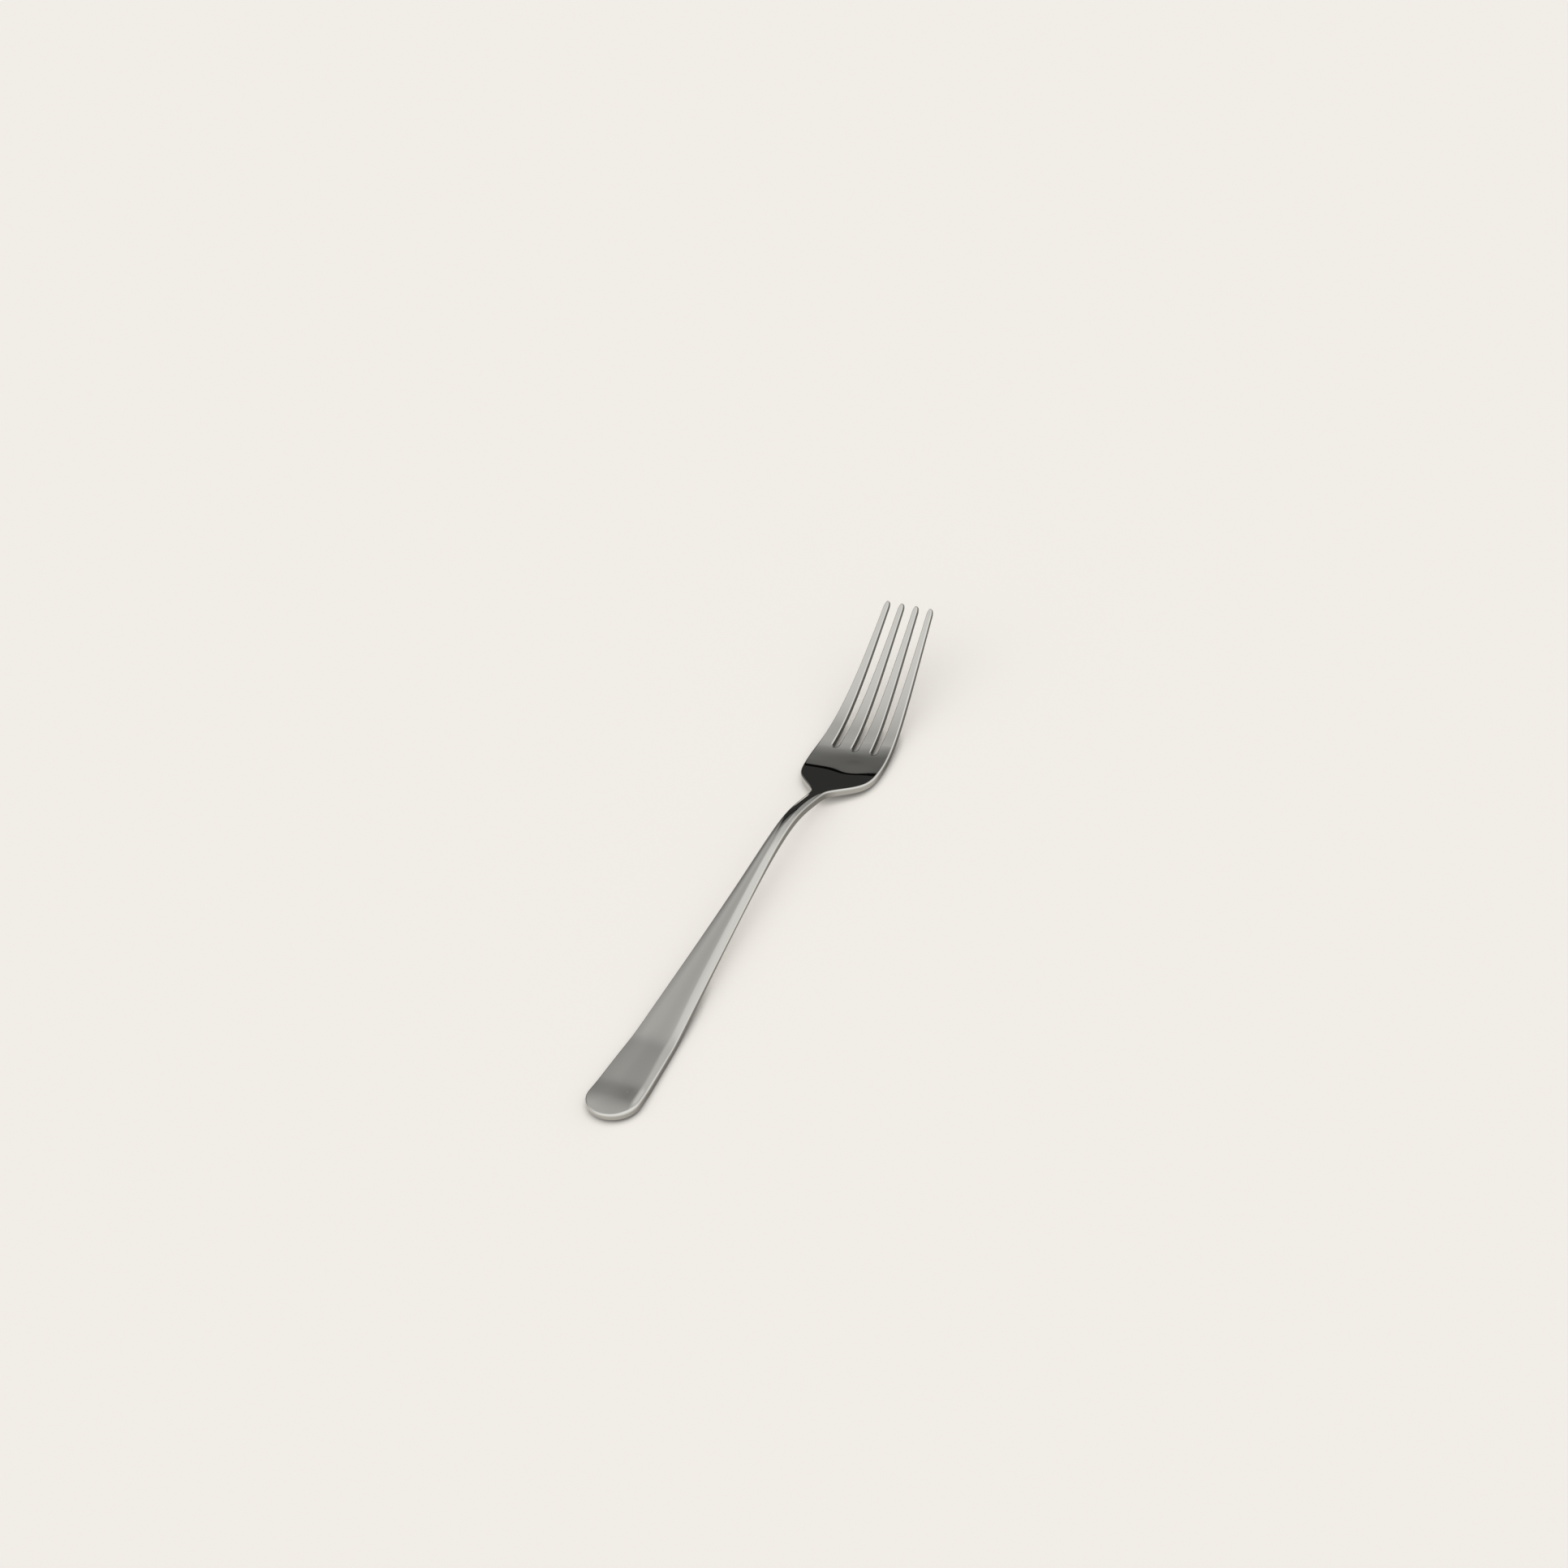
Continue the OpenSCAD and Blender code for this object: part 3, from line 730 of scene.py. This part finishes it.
def worked_out(tree, operation, first, second):
    """Result of an operation on two values."""
    node = tree.nodes.new("ShaderNodeMath")
    node.operation = operation
    feed(tree, node.inputs[0], first)
    feed(tree, node.inputs[1], second)
    return node.outputs[0]


def spread(tree, value, span, low=0, high=1):
    """Value that goes evenly from low to high as another crosses a span, and is still outside."""
    node = tree.nodes.new("ShaderNodeMapRange")
    feed(tree, node.inputs["Value"], value)
    for name, number in zip(("From Min", "From Max", "To Min", "To Max"), (*span, low, high)):
        node.inputs[name].default_value = number
    return node.outputs[0]


def mixed(tree, factor, low, high):
    """Colour that goes from low to high with the factor."""
    node = tree.nodes.new("ShaderNodeMix")
    node.data_type = "RGBA"
    tree.links.new(factor, node.inputs["Factor"])
    colours = [socket for socket in node.inputs if socket.type == "RGBA"]
    for socket, value in zip(colours, (low, high)):
        feed(tree, socket, value)
    return next(socket for socket in node.outputs if socket.type == "RGBA")


def tone_ramp(tree, value, tones):
    """Grey that follows a value through pairs of value and brightness, straight between them."""
    node = tree.nodes.new("ShaderNodeValToRGB")
    stops = node.color_ramp.elements
    for number, (place, tone) in enumerate(tones):
        stop = stops[number] if number < len(stops) else stops.new(place)
        stop.position = place
        stop.color = (*(tone * tint for tint in ROOM_TINT), 1)
    tree.links.new(value, node.inputs["Fac"])
    return node.outputs["Color"]


def clouds(tree, place, scale, detail):
    """Soft cloudy pattern by place, which changes about as often a metre as the scale says."""
    node = tree.nodes.new("ShaderNodeTexNoise")
    node.inputs["Scale"].default_value = scale
    node.inputs["Detail"].default_value = detail
    tree.links.new(place, node.inputs["Vector"])
    return node.outputs["Fac"]


def tilted(tree, pattern, depth, before=None):
    """Direction of a surface, tilted by the slopes of a pattern after any tilt before it."""
    node = tree.nodes.new("ShaderNodeBump")
    node.inputs["Strength"].default_value = 1
    node.inputs["Distance"].default_value = depth
    tree.links.new(pattern, node.inputs["Height"])
    if before:
        tree.links.new(before, node.inputs["Normal"])
    return node.outputs[0]


def polished_steel(finish):
    """Mirror-bright steel with fine polishing lines, soft waves and faint dull patches.

    The lines keep to the flat blank, so they run along the bent fork. Where the metal is sheared
    it is darker and duller, and the darker colour also paints shade, most down the slots.
    """
    material, tree, out = empty_material("polished_steel")
    new, link = tree.nodes.new, tree.links.new
    shader = new("ShaderNodeBsdfPrincipled")
    shader.inputs["Metallic"].default_value = 1
    link(shader.outputs[0], out.inputs["Surface"])
    sheared_and_shade = new("ShaderNodeAttribute")
    sheared_and_shade.attribute_name = "sheared_and_shade"
    sheared_and_shade = sheared_and_shade.outputs["Fac"]
    # The darker colour of the walls is partly sheared metal and partly painted shade
    tint = mixed(tree, sheared_and_shade, (*finish.colour, 1), (*finish.wall_and_shade_colour, 1))
    link(tint, shader.inputs["Base Color"])

    place = new("ShaderNodeTexCoord").outputs["Object"]
    patches = clouds(tree, place, PATCH_SCALE, PATCH_DETAIL)
    dull = spread(tree, patches, PATCH_RANGE, finish.gloss_low, finish.gloss_high)
    duller = worked_out(tree, "MULTIPLY", sheared_and_shade, finish.wall_dullness)
    link(worked_out(tree, "ADD", duller, dull), shader.inputs["Roughness"])

    blank = new("ShaderNodeAttribute")
    blank.attribute_name = "blank"
    drawn = new("ShaderNodeMapping")
    drawn.inputs["Scale"].default_value = LINE_SCALE
    link(blank.outputs["Vector"], drawn.inputs["Vector"])
    lines = clouds(tree, drawn.outputs[0], 1, LINE_DETAIL)
    waves = clouds(tree, place, RIPPLE_SCALE, RIPPLE_DETAIL)
    wavy = tilted(tree, waves, finish.wave_depth)
    link(tilted(tree, lines, finish.line_depth, wavy), shader.inputs["Normal"])
    return material


def table_finish(settings):
    """Matt pale table, with painted shade that darkens its colour in the crevice under the fork.

    A share of its colour is added where the viewer, a mirror or clear glass sees it, so it looks
    paler than the light makes it and keeps the fork's shadow.
    """
    material, tree, out = empty_material("pale_table")
    new, link = tree.nodes.new, tree.links.new
    shader = new("ShaderNodeBsdfPrincipled")
    shader.inputs["Roughness"].default_value = TABLE_ROUGHNESS
    shader.inputs["Specular IOR Level"].default_value = 0
    link(shader.outputs[0], out.inputs["Surface"])
    open_share = new("ShaderNodeAmbientOcclusion")
    open_share.inputs["Distance"].default_value = settings.painted_shade_reach
    tone = new("ShaderNodeVectorMath")
    tone.operation = "SCALE"
    tone.inputs[0].default_value = settings.table_colour
    # Painted shade: the table's colour darkens where the fork closes it off from the room
    painted_shade_factor = spread(tree, open_share.outputs["AO"], (0, TABLE_OPEN), settings.painted_shade_tone)
    link(painted_shade_factor, tone.inputs["Scale"])
    link(tone.outputs[0], shader.inputs["Base Color"])
    link(tone.outputs[0], shader.inputs["Emission Color"])
    ray = new("ShaderNodeLightPath").outputs
    plain = worked_out(tree, "MAXIMUM", ray["Is Camera Ray"], ray["Is Glossy Ray"])
    clear = worked_out(tree, "MAXIMUM", plain, ray["Is Transmission Ray"])
    lift = worked_out(tree, "MULTIPLY", clear, settings.table_lift)
    link(lift, shader.inputs["Emission Strength"])
    return material


def card_finish():
    """Card that glows faintly by its height: dark, then black, then paler towards its top."""
    material, tree, out = empty_material("dark_card")
    place = tree.nodes.new("ShaderNodeTexCoord")
    parts = tree.nodes.new("ShaderNodeSeparateXYZ")
    shader = tree.nodes.new("ShaderNodeEmission")
    tree.links.new(place.outputs["Object"], parts.inputs[0])
    share_up = worked_out(tree, "DIVIDE", parts.outputs["Z"], CARD_TOP)
    tree.links.new(tone_ramp(tree, share_up, CARD_TONES), shader.inputs["Color"])
    tree.links.new(shader.outputs[0], out.inputs["Surface"])
    return material


def flat_mesh(name, corners):
    """A mesh of one face through four corners."""
    mesh = bpy.data.meshes.new(name)
    mesh.from_pydata([tuple(corner) for corner in corners], [], [(0, 1, 2, 3)])
    mesh.update()
    return mesh


class MakeFork(bpy.types.Operator):
    """Build the fork from its sizes"""

    bl_idname = "mesh.dinner_fork_add"
    bl_label = "Dinner fork"

    def execute(self, context):
        form = ForkForm(context.scene.fork_sizes)
        mesh = welded_mesh("steel_fork", form.sheets())
        piece = add_piece("steel_fork", mesh, polished_steel(context.scene.fork_finish))
        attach(piece, "root")
        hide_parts("fork")
        return {"FINISHED"}


class SetStage(bpy.types.Operator):
    """Lay the table, set up the lights and place the camera"""

    bl_idname = "scene.fork_stage_add"
    bl_label = "Table, light and camera"

    def execute(self, context):
        settings = context.scene.fork_studio
        self.lay_table(settings)
        self.stand_card()
        self.light_sky(context.scene)
        self.hang_key(settings)
        self.place_camera(context.scene, settings)
        context.scene.view_settings.view_transform = "Standard"
        return {"FINISHED"}

    def lay_table(self, settings):
        """A flat square, as wide as the setting says."""
        half = settings.table_size / 2
        corners = [(-half, -half, 0), (half, -half, 0), (half, half, 0), (-half, half, 0)]
        table = add_piece("table", flat_mesh("table", corners), table_finish(settings))

    def stand_card(self):
        """An upright dark card past the head, which the hollow of the palm mirrors.

        Its corners lie left and right of a point that is its reach from the palm, along its
        heading.
        """
        ahead = Vector((cos(CARD_HEADING), sin(CARD_HEADING), 0))
        left = Vector((-sin(CARD_HEADING), cos(CARD_HEADING), 0))
        middle = Vector((PALM_AT, 0, 0)) + ahead * CARD_REACH
        foot = [middle + left * CARD_SIDES[0], middle + left * CARD_SIDES[1]]
        top = Vector((0, 0, CARD_TOP))
        corners = [foot[0], foot[1], foot[1] + top, foot[0] + top]
        card = add_piece("dark_card", flat_mesh("dark_card", corners), card_finish())
        card.visible_camera = False
        card.visible_diffuse = False
        card.visible_transmission = False
        card.visible_shadow = False

    def light_sky(self, scene):
        """Soft room, whose brightness depends on direction alone: on the heading round the table
        and on the sine of the height above it.

        A plane parts the room ahead of the viewer from the room to the right, which has a paler
        strip next to that plane. The room ahead is dim low down and turns into the grey room to
        the left. Both sides turn into the room behind the viewer, which is the brightest.
        """
        world = bpy.data.worlds.new("soft_room")
        scene.world = world
        world.use_nodes = True
        tree = world.node_tree
        tree.nodes.clear()
        new, link = tree.nodes.new, tree.links.new
        out = new("ShaderNodeOutputWorld")
        back = new("ShaderNodeBackground")
        link(back.outputs[0], out.inputs["Surface"])
        direction = new("ShaderNodeTexCoord").outputs["Generated"]
        parts = new("ShaderNodeSeparateXYZ")
        link(direction, parts.inputs[0])
        height = parts.outputs["Z"]
        heading = worked_out(tree, "ARCTAN2", parts.outputs["Y"], parts.outputs["X"])
        off_plane = new("ShaderNodeVectorMath")
        off_plane.operation = "DOT_PRODUCT"
        off_plane.inputs[1].default_value = AHEAD_PLANE
        link(direction, off_plane.inputs[0])
        off_plane = off_plane.outputs["Value"]

        right, strip, ahead, left, behind = (
            tone_ramp(tree, height, tones)
            for tones in (RIGHT_TONES, STRIP_TONES, AHEAD_TONES, LEFT_TONES, BEHIND_TONES)
        )
        ahead = mixed(tree, spread(tree, heading, LEFT_BLEND), ahead, left)
        right = mixed(tree, spread(tree, off_plane, STRIP_BLEND), right, strip)
        room = mixed(tree, spread(tree, off_plane, AHEAD_BLEND), right, ahead)
        for blend in (LEFT_BEHIND_BLEND, RIGHT_BEHIND_BLEND):
            room = mixed(tree, spread(tree, heading, blend), room, behind)
        link(room, back.inputs["Color"])

    def hang_key(self, settings):
        """A wide soft light high up on the viewer's left, aimed at the fork, that no metal mirrors.

        It stands at its heading and height, 1 m away, which for a sun lamp is only a direction.
        """
        lamp = bpy.data.lights.new("key_lamp", "SUN")
        lamp.angle = settings.key_width
        lamp.energy = settings.key_power
        holder = bpy.data.objects.new("key_lamp", lamp)
        bpy.context.scene.collection.objects.link(holder)
        heading, height = settings.key_heading, settings.key_height
        place = Vector((cos(heading) * cos(height), sin(heading) * cos(height), sin(height)))
        turn = (-place).to_track_quat("-Z", "Y").to_matrix().to_4x4()
        holder.matrix_world = Matrix.Translation(place) @ turn
        holder.visible_glossy = False

    def place_camera(self, scene, settings):
        """Camera at its place. It looks along the heading and down by the tilt, and the roll turns
        its picture."""
        heading, tilt, roll = (
            settings.camera_heading, settings.camera_tilt, settings.camera_roll,
        )
        view = Vector((cos(heading) * cos(tilt), sin(heading) * cos(tilt), -sin(tilt)))
        level = Vector((sin(heading), -cos(heading), 0))
        raised = level.cross(view)
        right = level * cos(roll) - raised * sin(roll)
        up = level * sin(roll) + raised * cos(roll)
        data = bpy.data.cameras.new("camera")
        data.sensor_fit = "HORIZONTAL"
        data.sensor_width = SENSOR_WIDTH
        data.lens = settings.lens
        data.clip_start = SEES_FROM
        data.clip_end = SEES_TO
        camera = bpy.data.objects.new("camera", data)
        scene.collection.objects.link(camera)
        turn = Matrix((right, up, -view)).transposed().to_4x4()
        camera.matrix_world = Matrix.Translation(settings.camera_place) @ turn
        scene.camera = camera


class ForkPanel(bpy.types.Panel):
    """Sizes, finish and stage of the fork"""

    bl_idname = "VIEW3D_PT_dinner_fork"
    bl_label = "Dinner Fork"
    bl_space_type = "VIEW_3D"
    bl_region_type = "UI"
    bl_category = "Dinner Fork"

    def draw(self, context):
        for label, group, operator in (
            ("Sizes", context.scene.fork_sizes, MakeFork),
            ("Steel", context.scene.fork_finish, None),
            ("Stage", context.scene.fork_studio, SetStage),
        ):
            box = self.layout.box()
            box.label(text=label)
            for name in group.bl_rna.properties.keys():
                if name not in ("rna_type", "name"):
                    box.prop(group, name)
            if operator:
                box.operator(operator.bl_idname)


CLASSES = (ForkSizes, SteelFinish, StudioSettings, MakeFork, SetStage, ForkPanel)


def register():
    for cls in CLASSES:
        bpy.utils.register_class(cls)
    bpy.types.Scene.fork_sizes = PointerProperty(type=ForkSizes)
    bpy.types.Scene.fork_finish = PointerProperty(type=SteelFinish)
    bpy.types.Scene.fork_studio = PointerProperty(type=StudioSettings)


def unregister():
    del bpy.types.Scene.fork_studio
    del bpy.types.Scene.fork_finish
    del bpy.types.Scene.fork_sizes
    for cls in reversed(CLASSES):
        bpy.utils.unregister_class(cls)


def main():
    """Build the fork and its stage."""
    register()
    bpy.ops.mesh.dinner_fork_add()
    bpy.ops.scene.fork_stage_add()


if __name__ == "__main__":
    main()
